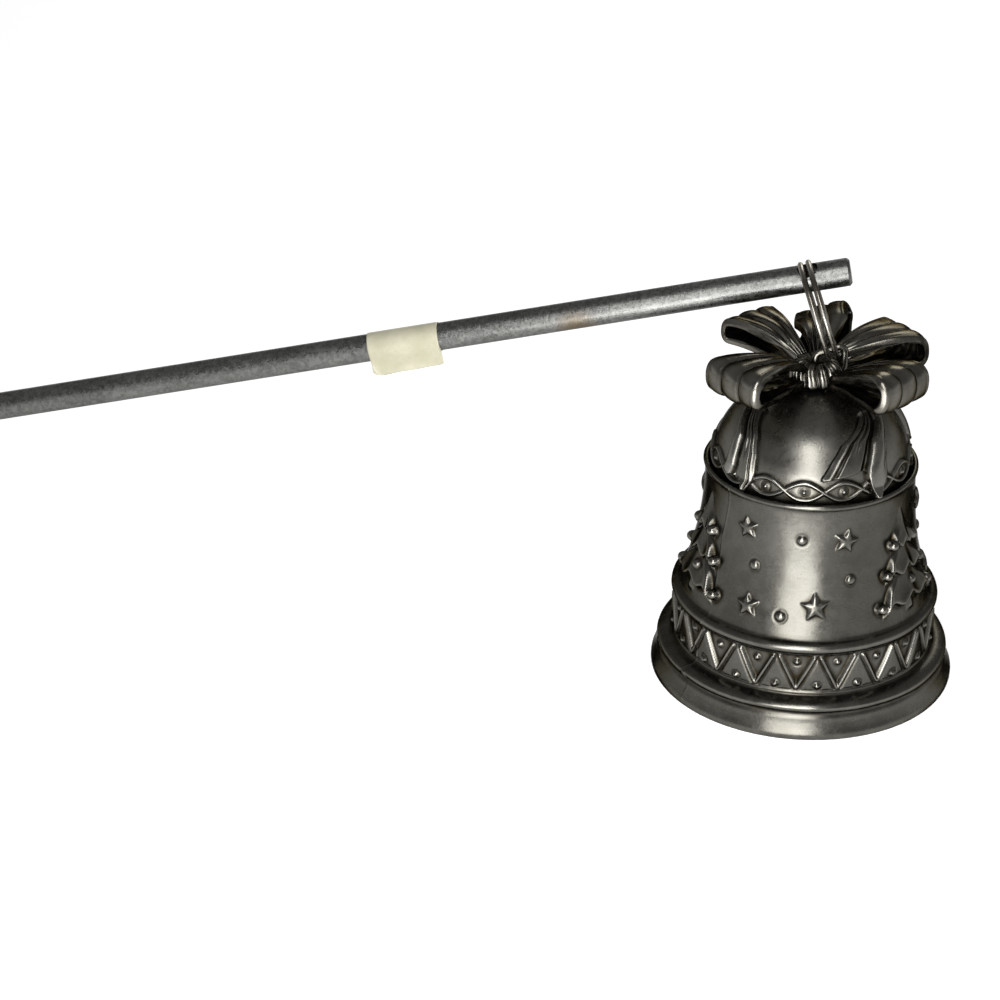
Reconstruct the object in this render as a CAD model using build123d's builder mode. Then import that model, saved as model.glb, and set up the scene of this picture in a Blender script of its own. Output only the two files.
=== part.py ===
from build123d import *
import math
import os

os.makedirs("parts", exist_ok=True)

# Candle snuffer: a cast bell cup with a ribbon bow, hung from a long rod by a split ring.
# Origin at the centre of the bell's mouth, +Z up through the bow, -Y the front, millimetres.
# The bell stands on its mouth and the free end of the rod rests on the same table.

# Cup: flared rim, two mouldings, zigzag band and waisted body, outer sizes
mouth_radius = 22.0
rim_edge_height = 0.8
mouth_land = 2.0
rim_height = 3.7
rim_neck_radius = 20.9
low_mould_radius = 21.2
low_mould_height = 4.6
band_radius = 18.7
band_bottom = 5.7
band_top = 12.3
up_mould_radius = 19.3
up_mould_height = 13.2
body_foot_radius = 18.1
body_foot_height = 14.0
waist_radius = 16.2
waist_height = 20.4
body_top_radius = 14.9
body_top_height = 32.1
lip_proud = 0.5
lip_top_height = 33.7
wall = 1.5

# Seat of the crown inside the lip
lip_land = 0.5
lip_groove_width = 0.5
lip_groove_depth = 1.3
seat_clearance = 0.05
seat_depth = 1.4
ledge_width = 1.2
ledge_depth = 1.2

# Raised zigzag: separate V strokes with a dot inside and beside each
zigzag_count = 20
zigzag_first_azimuth = 261.4
stroke_width = 0.8
stroke_proud = 0.45
vee_width = 4.8
vee_margin = 0.6
band_dot_radius = 0.55
band_dot_inset = 1.5

# Body reliefs, cast in one with the cup: three fields of stars and dots with a fir tree between
field_count = 3
field_azimuth = 264.0
relief_proud = 0.6
relief_root = 0.5
star_radius = 2.1
star_waist_share = 0.45
star_points = 5
body_dot_radius = 0.8
star_turns_and_heights = ((-34.4, 28.6), (19.8, 28.0), (-28.5, 17.6), (4.4, 18.6))
dot_turns_and_heights = ((-3.8, 28.2), (-28.1, 23.4), (22.4, 22.2), (-11.8, 17.0))
tree_foot_height = 15.6
tree_height = 14.6
tree_width = 11.6
tree_ball_radius = 0.85
tree_ball_proud = 1.2
tree_outline_shares = (
    (0.00, 1.00), (0.20, 0.70), (0.11, 0.70), (0.34, 0.42),
    (0.20, 0.42), (0.50, 0.12), (0.09, 0.12), (0.09, 0.00),
)
tree_ball_shares = (
    (0.50, 0.10), (-0.50, 0.10), (0.34, 0.40), (-0.34, 0.40), (0.20, 0.68), (-0.20, 0.68), (0.06, 0.26),
)

# Crown: a domed cap that stands on the ledge inside the lip
dome_spring_lift = 0.3
dome_rise = 11.4
dome_wall = 1.3
oval_count = 16
oval_first_azimuth = 259.7
oval_lift = 1.2
oval_length = 5.0
oval_width = 2.5
oval_rim = 0.55
oval_proud = 0.45
oval_dot_radius = 0.45

# Ribbon tails: pleated swallow tails that lie on the dome
tail_thickness = 0.85
tail_foot_drop = 0.1
tail_length = 8.5
tail_notch = 3.3
tail_top_width = 3.4
tail_foot_width = 9.6
tail_point_share = 0.25
pleat_width = 0.5
pleat_depth = 0.35
pleat_share = 1 / 6
tail_azimuths_and_leans = (
    ("ribbon_tail_front_right", 301.0, -2.4),
    ("ribbon_tail_right", 25.0, 1.2),
    ("ribbon_tail_back", 112.0, -1.2),
    ("ribbon_tail_left", 210.0, 2.4),
)

# Bow: a pleated knot and five channelled ribbon loops, each within its own sector, heights over the crown
knot_radius = 3.5
knot_height = 2.1
knot_pleats = 14
knot_pleat_radius = 0.55
solder_gap = 0.05
ribbon_thickness = 0.9
loop_spread = 21.4
loop_root_height = 1.25
channel_width = 0.6
channel_depth = 0.3
channel_shares = (-0.36, 0.36)
loop_azimuths_reaches_tops_bottoms = (
    ("bow_loop_front_left", 214.0, 16.0, 6.4, 0.8),
    ("bow_loop_front_right", 318.0, 15.6, 6.2, 0.3),
    ("bow_loop_right", 24.0, 15.8, 6.3, 0.6),
    ("bow_loop_rear", 79.0, 17.0, 6.0, 1.2),
    ("bow_loop_left", 131.0, 14.4, 7.1, 2.5),
)

# Hanging eye: a wire staple whose feet sink into the knot
eye_wire_radius = 0.5
eye_half_width = 2.15
eye_knee_lift = 0.7
eye_foot_inset = 1.0
eye_foot_depth = 1.2
eye_corner_radius = 0.8
eye_knee_radius = 1.0

# Split ring: two flat turns of round wire joined by one step
ring_radius = 6.8
ring_wire_radius = 0.36
ring_pitch = 1.14
ring_tilt = 18.7
ring_lean = 28.0
ring_play = 0.3
ring_seat_x = 2.1
ring_seat_y = -1.2
ring_seat_lift = 4.4
step_azimuth = 312.0
step_half_angle = 18.0
step_end_angle = 3.0

# Handle rod, drilled across near one end for the ring
rod_length = 280.0
rod_radius = 2.0
rod_chamfer = 0.35
cross_hole_radius = 1.45
cross_hole_inset = 5.9
cross_hole_lift = 20.6
cross_hole_shift = 0.12
rod_yaw = 5.4
table_gap = 0.02

# Paper label, wrapped round the rod with one end lifted
label_start = 53.5
label_length = 10.4
label_thickness = 0.15
label_gap = 0.02
label_flap = 1.3

cut_overrun = 2.0


def turn(angle):
    """Unit vector in the table plane at an azimuth in degrees."""
    return Vector(math.cos(math.radians(angle)), math.sin(math.radians(angle)), 0)


def radial_plane(azimuth, height):
    """A plane through the bell's axis that faces outward at an azimuth, its Y axis up."""
    return Plane(origin=(0, 0, height), x_dir=turn(azimuth + 90), z_dir=turn(azimuth))


def section_plane(azimuth):
    """A plane that holds the bell's axis, X outward at an azimuth and Y up."""
    return Plane(origin=(0, 0, 0), x_dir=turn(azimuth), z_dir=turn(azimuth - 90))


def outline(points):
    """A closed polygon of 2-D points in the current sketch."""
    Polygon(*points, align=None)


# Heights of the seat, the crown and the knot, and the radii that the crown fits
dome_radius = body_top_radius - lip_land - lip_groove_width
groove_bottom = lip_top_height - lip_groove_depth
ledge_height = groove_bottom - seat_depth
dome_spring_height = lip_top_height + dome_spring_lift
crown_height = dome_spring_height + dome_rise
tail_foot_height = dome_spring_height - tail_foot_drop
knot_base = crown_height + solder_gap
knot_top = knot_base + knot_height

# Places of the ring, its eye and the rod, worked out from the ring's seat in the eye
tilt = math.radians(ring_tilt)
lean = math.radians(ring_lean)
lift = math.radians(cross_hole_lift)
ring_normal = Vector(math.cos(tilt), 0, math.sin(tilt))
ring_level = Vector(0, 1, 0)
ring_rise = Vector(-math.sin(tilt), 0, math.cos(tilt))
ring_up = ring_level * math.sin(lean) + ring_rise * math.cos(lean)
ring_seat = Vector(ring_seat_x, ring_seat_y, crown_height + ring_seat_lift)
ring_centre = ring_seat + ring_up * ring_radius
eye_centre = ring_seat + ring_up * (ring_wire_radius + ring_play + eye_wire_radius)
hole_out = ring_level * math.cos(lift) + ring_rise * math.sin(lift)
hole_along = ring_rise * math.cos(lift) - ring_level * math.sin(lift)
hole_centre = ring_centre + hole_out * (ring_radius - cross_hole_shift)

# The rod slopes down until the lower edge of its free end is just above the table
free_length = rod_length - cross_hole_inset
rod_pitch = math.asin((hole_centre.Z - table_gap) / math.hypot(free_length, rod_radius))
rod_pitch -= math.atan2(rod_radius, free_length)
yaw = math.radians(rod_yaw)
rod_level = math.cos(rod_pitch)
rod_out = Vector(-rod_level * math.cos(yaw), rod_level * math.sin(yaw), -math.sin(rod_pitch))
hole_axis = (hole_along - rod_out * hole_along.dot(rod_out)).normalized()
rod_near_end = hole_centre - rod_out * cross_hole_inset


def body_curve():
    """The waisted outside of the cup between the upper moulding and the lip."""
    return ThreePointArc(
        (body_foot_radius, body_foot_height),
        (waist_radius, waist_height),
        (body_top_radius, body_top_height),
    )


def dome_face(inset):
    """Half of the dome's section, drawn in from its outside by an inset, as a face to revolve."""
    radius = dome_radius - inset
    apex = crown_height - inset
    with BuildSketch() as face:
        with BuildLine():
            Line((0, ledge_height), (radius, ledge_height))
            Line((radius, ledge_height), (radius, dome_spring_height))
            Bezier((radius, dome_spring_height), (radius, apex), (0, apex), weights=[1, math.sqrt(1 / 2), 1])
            Line((0, apex), (0, ledge_height))
        make_face()
    return face.sketch


def body_band(proud):
    """Section of a band that follows the body from inside its wall to a height above it."""
    inner, outer = [
        [
            (body_foot_radius + step, body_foot_height),
            (waist_radius + step, waist_height),
            (body_top_radius + step, body_top_height),
        ]
        for step in (-relief_root, proud)
    ]
    with BuildSketch() as face:
        with BuildLine():
            ThreePointArc(*inner)
            Line(inner[-1], outer[-1])
            ThreePointArc(*outer)
            Line(outer[0], inner[0])
        make_face()
    return face.sketch


# Relief motifs: prisms pushed outward through a thin band that follows the body
with BuildPart() as reliefs:
    with BuildSketch(Plane.XZ):
        add(body_band(relief_proud))
    revolve(axis=Axis.Z)
    for field in range(field_count):
        field_centre = field_azimuth + field * 360 / field_count
        for star_turn, star_height in star_turns_and_heights:
            with BuildSketch(radial_plane(field_centre + star_turn, star_height)):
                star = []
                for corner in range(2 * star_points):
                    reach = star_radius if corner % 2 == 0 else star_radius * star_waist_share
                    spoke = math.radians(90 + corner * 180 / star_points)
                    star.append((reach * math.cos(spoke), reach * math.sin(spoke)))
                outline(star)
        for dot_turn, dot_height in dot_turns_and_heights:
            with BuildSketch(radial_plane(field_centre + dot_turn, dot_height)):
                Circle(body_dot_radius)
        with BuildSketch(radial_plane(field_centre + 180 / field_count, tree_foot_height)):
            right_side = [(x * tree_width, y * tree_height) for x, y in tree_outline_shares]
            left_side = [(-x, y) for x, y in reversed(right_side[1:])]
            outline(right_side + left_side)
    extrude(amount=mouth_radius, mode=Mode.INTERSECT)

# Ball ornaments stand prouder than their trees
with BuildPart() as tree_balls:
    with BuildSketch(Plane.XZ):
        add(body_band(tree_ball_proud))
    revolve(axis=Axis.Z)
    for field in range(field_count):
        tree_azimuth = field_azimuth + 180 / field_count + field * 360 / field_count
        with BuildSketch(radial_plane(tree_azimuth, tree_foot_height)):
            with Locations([(x * tree_width, y * tree_height) for x, y in tree_ball_shares]):
                Circle(tree_ball_radius)
    extrude(amount=mouth_radius, mode=Mode.INTERSECT)

# Cup: one casting from rim to lip, open below, with a ledge inside for the crown
with BuildPart() as bell_cup:
    with BuildSketch(Plane.XZ):
        with BuildLine():
            lip_inner_radius = dome_radius + lip_groove_width
            socket_radius = dome_radius + seat_clearance
            ledge_radius = dome_radius - ledge_width
            Line((mouth_radius - wall, 0), (mouth_radius, 0))
            Line((mouth_radius, 0), (mouth_radius, rim_edge_height))
            Line((mouth_radius, rim_edge_height), (rim_neck_radius, rim_height))
            ThreePointArc(
                (rim_neck_radius, rim_height),
                (low_mould_radius, low_mould_height),
                (band_radius, band_bottom),
            )
            Line((band_radius, band_bottom), (band_radius, band_top))
            ThreePointArc(
                (band_radius, band_top),
                (up_mould_radius, up_mould_height),
                (body_foot_radius, body_foot_height),
            )
            body_curve()
            ThreePointArc(
                (body_top_radius, body_top_height),
                (body_top_radius + lip_proud, (body_top_height + lip_top_height) / 2),
                (body_top_radius, lip_top_height),
            )
            Line((body_top_radius, lip_top_height), (lip_inner_radius, lip_top_height))
            Line((lip_inner_radius, lip_top_height), (lip_inner_radius, groove_bottom))
            Line((lip_inner_radius, groove_bottom), (socket_radius, groove_bottom))
            Line((socket_radius, groove_bottom), (socket_radius, ledge_height))
            Line((socket_radius, ledge_height), (ledge_radius, ledge_height))
            Line((ledge_radius, ledge_height), (ledge_radius, ledge_height - ledge_depth))
            ThreePointArc(
                (ledge_radius, ledge_height - ledge_depth),
                (waist_radius - wall, waist_height),
                (body_foot_radius - wall, body_foot_height),
            )
            Line((body_foot_radius - wall, body_foot_height), (band_radius - wall, band_top))
            Line((band_radius - wall, band_top), (band_radius - wall, band_bottom))
            Line((band_radius - wall, band_bottom), (mouth_radius - wall, mouth_land))
            Line((mouth_radius - wall, mouth_land), (mouth_radius - wall, 0))
        make_face()
    revolve(axis=Axis.Z)
    band_middle = (band_bottom + band_top) / 2
    vee_depth = band_top - band_bottom - 2 * vee_margin
    band_root = band_radius - wall / 2
    for vee in range(zigzag_count):
        vee_azimuth = zigzag_first_azimuth + vee * 360 / zigzag_count
        with BuildSketch(radial_plane(vee_azimuth, band_middle).offset(band_root)):
            outline([
                (-vee_width / 2, vee_depth / 2),
                (-vee_width / 2 + stroke_width, vee_depth / 2),
                (0, -vee_depth / 2 + 2 * stroke_width),
                (vee_width / 2 - stroke_width, vee_depth / 2),
                (vee_width / 2, vee_depth / 2),
                (stroke_width / 2, -vee_depth / 2),
                (-stroke_width / 2, -vee_depth / 2),
            ])
            with Locations((0, vee_depth / 2 - band_dot_inset + stroke_width)):
                Circle(band_dot_radius)
        between = vee_azimuth + 180 / zigzag_count
        with BuildSketch(radial_plane(between, band_bottom + band_dot_inset).offset(band_root)):
            Circle(band_dot_radius)
    extrude(amount=band_radius - band_root + stroke_proud)
    add(reliefs.part)
    add(tree_balls.part)
bell_cup.part.label = "bell_cup"
export_step(bell_cup.part, "parts/bell_cup.step")

# Ovals: a raised ring of eyes round the foot of the dome, each with a dot
with BuildPart() as ovals:
    with BuildSketch(Plane.XZ):
        add(dome_face(-oval_proud))
    revolve(axis=Axis.Z)
    with BuildSketch(Plane.XZ):
        add(dome_face(dome_wall / 2))
    revolve(axis=Axis.Z, mode=Mode.SUBTRACT)
    for oval in range(oval_count):
        oval_azimuth = oval_first_azimuth + oval * 360 / oval_count
        with BuildSketch(radial_plane(oval_azimuth, dome_spring_height + oval_lift)):
            Ellipse(oval_length / 2, oval_width / 2)
            Ellipse(oval_length / 2 - oval_rim, oval_width / 2 - oval_rim, mode=Mode.SUBTRACT)
            Circle(oval_dot_radius)
    extrude(amount=mouth_radius, mode=Mode.INTERSECT)

# Crown: the domed cap, hollow, with the ovals cast on it
with BuildPart() as crown_dome:
    with BuildSketch(Plane.XZ):
        add(dome_face(0))
    revolve(axis=Axis.Z)
    with BuildSketch(Plane.XZ):
        add(dome_face(dome_wall))
    revolve(axis=Axis.Z, mode=Mode.SUBTRACT)
    add(ovals.part)
crown_dome.part.label = "crown_dome"
export_step(crown_dome.part, "parts/crown_dome.step")


def tail_outline(foot_lean):
    """Outline of a swallow tail: narrow under the bow, flared and notched at its foot."""
    outline([
        (-tail_top_width / 2, tail_length),
        (tail_top_width / 2, tail_length),
        (tail_foot_width / 2 + foot_lean, tail_notch / 2),
        (tail_foot_width * tail_point_share + foot_lean, 0),
        (foot_lean, tail_notch),
        (-tail_foot_width * tail_point_share + foot_lean, 0),
        (-tail_foot_width / 2 + foot_lean, tail_notch / 2),
    ])


def pleat_outline(foot_lean, side):
    """Outline of the groove between two pleats, from the top of a tail to its foot."""
    top = tail_length + cut_overrun
    foot = foot_lean + side * tail_foot_width * pleat_share
    head = side * tail_top_width * pleat_share
    outline([
        (head - pleat_width / 4, top),
        (head + pleat_width / 4, top),
        (foot + pleat_width, -cut_overrun),
        (foot - pleat_width, -cut_overrun),
    ])


# Ribbon tails: patches of a shell that lies on the dome and over its ovals
for tail_name, tail_azimuth, tail_lean in tail_azimuths_and_leans:
    tail_inset = -oval_proud - solder_gap
    tail_plane = radial_plane(tail_azimuth, tail_foot_height)
    with BuildPart() as pleats:
        with BuildSketch(Plane.XZ):
            add(dome_face(tail_inset - tail_thickness - cut_overrun))
        revolve(axis=Axis.Z)
        with BuildSketch(Plane.XZ):
            add(dome_face(tail_inset - tail_thickness + pleat_depth))
        revolve(axis=Axis.Z, mode=Mode.SUBTRACT)
        with BuildSketch(tail_plane):
            pleat_outline(tail_lean, 1)
            pleat_outline(tail_lean, -1)
        extrude(amount=mouth_radius, mode=Mode.INTERSECT)
    with BuildPart() as ribbon_tail:
        with BuildSketch(Plane.XZ):
            add(dome_face(tail_inset - tail_thickness))
        revolve(axis=Axis.Z)
        with BuildSketch(Plane.XZ):
            add(dome_face(tail_inset))
        revolve(axis=Axis.Z, mode=Mode.SUBTRACT)
        with BuildSketch(tail_plane):
            tail_outline(tail_lean)
        extrude(amount=mouth_radius, mode=Mode.INTERSECT)
        add(pleats.part, mode=Mode.SUBTRACT)
    ribbon_tail.part.label = tail_name
    export_step(ribbon_tail.part, f"parts/{tail_name}.step")

# The eye's wire, drawn in the upright plane through its bar
with BuildPart() as hanging_eye:
    eye_plane = Plane(origin=(0, eye_centre.Y, 0), x_dir=(1, 0, 0), z_dir=(0, -1, 0))
    shoulder_left = eye_centre - ring_normal * eye_half_width
    shoulder_right = eye_centre + ring_normal * eye_half_width
    foot_height = knot_top - eye_foot_depth
    with BuildLine(eye_plane) as eye_path:
        FilletPolyline(
            (shoulder_left.X + eye_foot_inset, foot_height),
            (shoulder_left.X, knot_top + eye_knee_lift),
            (shoulder_left.X, shoulder_left.Z),
            (shoulder_right.X, shoulder_right.Z),
            (shoulder_right.X, knot_top + eye_knee_lift),
            (shoulder_right.X - eye_foot_inset, foot_height),
            radius=[eye_knee_radius, eye_corner_radius, eye_corner_radius, eye_knee_radius],
        )
    with BuildSketch(Plane(origin=eye_path.line @ 0, z_dir=eye_path.line % 0)):
        Circle(eye_wire_radius)
    sweep(path=eye_path.line)
hanging_eye.part.label = "hanging_eye"
export_step(hanging_eye.part, "parts/hanging_eye.step")

# Knot: a short pleated drum on the crown, with two holes for the eye's feet
with BuildPart() as bow_knot:
    with BuildSketch(Plane.XY.offset(knot_base)):
        Circle(knot_radius - knot_pleat_radius / 2)
        with PolarLocations(knot_radius - knot_pleat_radius, knot_pleats):
            Circle(knot_pleat_radius)
    extrude(amount=knot_height)
    for foot in (0, 1):
        with BuildSketch(Plane(origin=eye_path.line @ foot, z_dir=eye_path.line % foot)):
            Circle(eye_wire_radius + solder_gap)
    extrude(amount=knot_height, both=True, mode=Mode.SUBTRACT)
bow_knot.part.label = "bow_knot"
export_step(bow_knot.part, "parts/bow_knot.step")


def loop_outline(reach, top, bottom):
    """Section of a ribbon loop: two straight runs from the knot and a round fold."""
    fold = (top - bottom) / 2
    middle = Vector(reach - fold, crown_height + (top + bottom) / 2)
    root_low = Vector(0, knot_base + solder_gap)
    root_high = Vector(0, knot_base + solder_gap + loop_root_height)
    touches = []
    for root, side in ((root_high, 1), (root_low, -1)):
        span = middle - root
        slope = math.atan2(span.Y, span.X) + side * math.asin(fold / span.length)
        run = Vector(math.cos(slope), math.sin(slope))
        touches.append(root + run * math.sqrt(span.length ** 2 - fold ** 2))
    with BuildSketch() as face:
        with BuildLine():
            Line(root_high, touches[0])
            ThreePointArc(touches[0], middle + Vector(fold, 0), touches[1])
            Line(touches[1], root_low)
            Line(root_low, root_high)
        make_face()
    return face.sketch


# Bow loops: channelled ribbons, each cut to its own sector and to the knot
for loop_name, loop_azimuth, reach, top, bottom in loop_azimuths_reaches_tops_bottoms:
    half_width = reach * math.tan(math.radians(loop_spread))
    loop_plane = section_plane(loop_azimuth)
    with BuildPart() as bow_loop:
        with BuildSketch(loop_plane):
            add(loop_outline(reach, top, bottom))
            offset(amount=-ribbon_thickness, mode=Mode.SUBTRACT)
        extrude(amount=half_width, both=True)
        with BuildSketch(*[loop_plane.offset(share * half_width) for share in channel_shares]):
            add(loop_outline(reach, top, bottom))
            offset(amount=-channel_depth, mode=Mode.SUBTRACT)
        extrude(amount=channel_width / 2, both=True, mode=Mode.SUBTRACT)
        with BuildSketch(Plane(origin=(0, 0, 0), x_dir=turn(loop_azimuth), z_dir=(0, 0, 1))):
            outline([(0, 0), (reach + cut_overrun, half_width), (reach + cut_overrun, -half_width)])
            Circle(knot_radius + solder_gap, mode=Mode.SUBTRACT)
        extrude(amount=crown_height + top + cut_overrun, mode=Mode.INTERSECT)
    bow_loop.part.label = loop_name
    export_step(bow_loop.part, f"parts/{loop_name}.step")


def biarc_joint(start, start_way, end, end_way):
    """Middle point and direction of two tangent arcs that join two points with their directions."""
    span = end - start
    ways = start_way + end_way
    room = 2 * (1 - start_way.dot(end_way))
    along = span.dot(ways)
    reach = (math.sqrt(along ** 2 + room * span.dot(span)) - along) / room
    first = start + start_way * reach
    second = end - end_way * reach
    return (first + second) * 0.5, (second - first).normalized()


def ring_point(angle, side):
    """A point of the ring's wire: its angle from the level rearward line, and which turn it is on."""
    spin = math.radians(angle)
    spoke = ring_level * math.cos(spin) + ring_rise * math.sin(spin)
    return ring_centre + spoke * ring_radius + ring_normal * (side * ring_pitch / 2)


def ring_way(angle):
    """Direction of the ring's wire at an angle."""
    spin = math.radians(angle)
    return ring_rise * math.cos(spin) - ring_level * math.sin(spin)


def turn_arc(first, last, side):
    """A flat stretch of one turn, as two arcs of under half a turn."""
    middle = (first + last) / 2
    ThreePointArc(ring_point(first, side), ring_point((first + middle) / 2, side), ring_point(middle, side))
    ThreePointArc(ring_point(middle, side), ring_point((middle + last) / 2, side), ring_point(last, side))


# Split ring: one wire, a flat turn, a step across and a second flat turn
with BuildPart() as split_ring:
    step_start = step_azimuth - step_half_angle
    step_end = step_azimuth + step_half_angle
    wire_start = step_end + step_end_angle - 360
    wire_end = step_start - step_end_angle + 360
    joint, joint_way = biarc_joint(
        ring_point(step_start, -1), ring_way(step_start), ring_point(step_end, 1), ring_way(step_end)
    )
    with BuildLine() as ring_path:
        turn_arc(wire_start, step_start, -1)
        TangentArc(ring_point(step_start, -1), joint, tangent=ring_way(step_start))
        TangentArc(joint, ring_point(step_end, 1), tangent=joint_way)
        turn_arc(step_end, wire_end, 1)
    with BuildSketch(Plane(origin=ring_point(wire_start, -1), z_dir=ring_way(wire_start))):
        Circle(ring_wire_radius)
    sweep(path=ring_path.wire())
split_ring.part.label = "split_ring"
export_step(split_ring.part, "parts/split_ring.step")

# The ring's least gap to itself, measured on points along the wire
ring_samples = 720
ring_length = ring_path.wire().length
samples = [ring_path.wire() @ (k / ring_samples) for k in range(ring_samples + 1)]
near_samples = int(ring_samples * ring_radius / ring_length)
least = min(
    (samples[first] - samples[second]).length
    for first in range(ring_samples + 1)
    for second in range(first + near_samples, ring_samples + 1)
)
least_gap = least - 2 * ring_wire_radius
print("split ring: wire length", round(ring_length, 1), "least gap to itself", round(least_gap, 3))

# Handle rod: a plain bar with chamfered ends and the ring's cross hole
with BuildPart() as handle_rod:
    with BuildSketch(Plane(origin=rod_near_end, x_dir=hole_axis, z_dir=rod_out)):
        Circle(rod_radius)
    extrude(amount=rod_length)
    chamfer(handle_rod.edges().filter_by(GeomType.CIRCLE), rod_chamfer)
    with BuildSketch(Plane(origin=hole_centre, x_dir=rod_out, z_dir=hole_axis)):
        Circle(cross_hole_radius)
    extrude(amount=rod_radius + cut_overrun, both=True, mode=Mode.SUBTRACT)
handle_rod.part.label = "handle_rod"
export_step(handle_rod.part, "parts/handle_rod.step")

# Paper label: a sleeve glued round the rod, with a lifted end that hangs from its front
with BuildPart() as paper_label:
    label_inner = rod_radius + label_gap
    label_outer = label_inner + label_thickness
    with BuildSketch(Plane(origin=hole_centre + rod_out * label_start, x_dir=hole_axis, z_dir=rod_out)):
        Circle(label_outer)
        with Locations((-(rod_radius + label_flap) / 2, -(label_inner + label_outer) / 2)):
            Rectangle(rod_radius + label_flap, label_thickness)
        Circle(label_inner, mode=Mode.SUBTRACT)
    extrude(amount=label_length)
paper_label.part.label = "paper_label"
export_step(paper_label.part, "parts/paper_label.step")

print("ring swings about", tuple(ring_normal), "through", tuple(eye_centre))
print("rod turns about", tuple(hole_axis), "through", tuple(hole_centre))
print("rod out", tuple(rod_out), "pitch", round(math.degrees(rod_pitch), 2), "near end", tuple(rod_near_end))
print("ring centre", tuple(ring_centre), "hole oblique by", round(hole_axis.get_angle(hole_along), 2))
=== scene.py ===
import math

import bpy
import numpy as np
from mathutils import Matrix, Vector


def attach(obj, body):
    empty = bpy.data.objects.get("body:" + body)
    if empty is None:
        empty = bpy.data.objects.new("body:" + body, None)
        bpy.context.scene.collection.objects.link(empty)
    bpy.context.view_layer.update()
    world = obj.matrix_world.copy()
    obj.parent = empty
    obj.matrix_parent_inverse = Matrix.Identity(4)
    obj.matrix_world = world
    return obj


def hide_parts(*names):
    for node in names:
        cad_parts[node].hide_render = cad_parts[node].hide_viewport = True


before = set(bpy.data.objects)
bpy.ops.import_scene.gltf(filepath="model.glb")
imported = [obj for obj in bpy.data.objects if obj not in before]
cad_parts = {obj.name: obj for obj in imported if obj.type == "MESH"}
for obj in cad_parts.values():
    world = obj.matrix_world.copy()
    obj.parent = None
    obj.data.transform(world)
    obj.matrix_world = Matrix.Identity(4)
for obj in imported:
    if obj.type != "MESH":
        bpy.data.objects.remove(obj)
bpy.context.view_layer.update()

# Candle snuffer: an antique pewter bell with a ribbon bow, hung from a long bar by a split ring.
# Lengths below are millimetres in the CAD frame; meshes are written in metres.
MM = 0.001

# Camera of the photograph: focal length in pixels of a 1000 pixel frame, distance, elevation, roll and aim
FOCAL_PIXELS = 2600.0
FRAME_PIXELS = 1000.0
SENSOR_MM = 36.0
CAMERA_DISTANCE = 385.2
CAMERA_ELEVATION = 27.87
CAMERA_ROLL = -0.34
CAMERA_RIGHT = 44.36
CAMERA_UP = -23.65

# Cup's section as radii and heights: rim, mouldings and band, then the lip, then the inside down to the rim again
MOUTH_RADIUS = 22.0
CUP_FOOT = (
    (21.7, 0.0), (21.95, 0.12), (22.0, 0.4), (21.98, 0.9), (21.6, 1.7), (21.28, 2.5), (21.08, 3.2),
    (20.85, 3.55), (20.75, 3.8), (20.95, 4.05), (21.18, 4.45), (21.12, 4.9), (20.7, 5.25), (20.0, 5.48),
    (19.3, 5.6), (18.95, 5.72), (19.02, 5.95), (19.0, 6.2), (18.72, 6.4), (18.7, 11.95), (18.9, 12.12), (18.8, 12.3),
    (19.05, 12.5), (19.27, 12.85), (19.3, 13.2), (19.12, 13.6), (18.7, 13.85), (18.25, 13.95), (18.02, 14.15),
)
CUP_LIP = (
    (14.9, 32.3), (14.94, 32.7), (15.06, 32.9), (15.2, 33.1), (15.22, 33.35), (15.1, 33.58), (14.85, 33.7),
    (14.55, 33.68), (14.4, 33.5),
)
CUP_INSIDE = (
    (14.4, 32.5), (14.3, 32.4), (13.95, 32.4), (13.95, 31.0), (12.7, 31.0), (12.7, 29.8), (13.4, 25.5),
    (14.7, 20.4), (15.6, 17.0), (16.6, 14.0), (17.2, 12.3), (17.2, 5.7), (20.5, 2.0), (20.5, 0.1), (20.6, 0.0),
)
# The body between them: heights and radii that its waisted curve is drawn near, and the run that the curve fills
BODY_HEIGHTS, BODY_RADII = (14.0, 20.4, 32.1), (18.1, 16.2, 14.9)
BODY_RUN = (14.5, 31.7)
# Heights between which the body's reliefs fade in, and out
BODY_FADES = ((14.0, 14.5), (31.5, 31.9))

# Band: V strokes with a dot in each and one between each two, places across and over the band's middle
BAND_RADIUS = 18.7
BAND_MIDDLE = 9.0
BAND_EDGES = (5.7, 12.5)
BAND_FADES = ((6.3, 6.6), (11.8, 12.15))
ZIGZAG_COUNT = 20
ZIGZAG_FIRST = 261.4
VEE_ARM, VEE_TOP = 2.45, 2.7
VEE_FOOT, VEE_FOOT_HALF = -2.4, 0.04
VEE_SLOPE = 2.08
STROKE_HALF = 0.36
BAND_DOT_RADIUS = 0.55
INNER_DOT, OUTER_DOT = 1.75, -1.9

# Body: stars as azimuth in their field, height and lean, dots as azimuth and height
FIELD_COUNT = 3
FIELD_AZIMUTH = 264.0
FIELD_LEAN = 9.0
STARS = ((-34.4, 28.6, 12.0), (19.8, 28.0, -14.0), (-28.5, 17.6, 8.0), (4.4, 18.6, 3.0))
STAR_RADII = (1.6, 1.75, 1.65, 1.95)
STAR_WAIST = 0.5
DOTS = ((-3.8, 28.2), (-28.1, 23.4), (22.4, 22.2), (-11.8, 17.0))
DOT_RADIUS = 0.7

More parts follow.
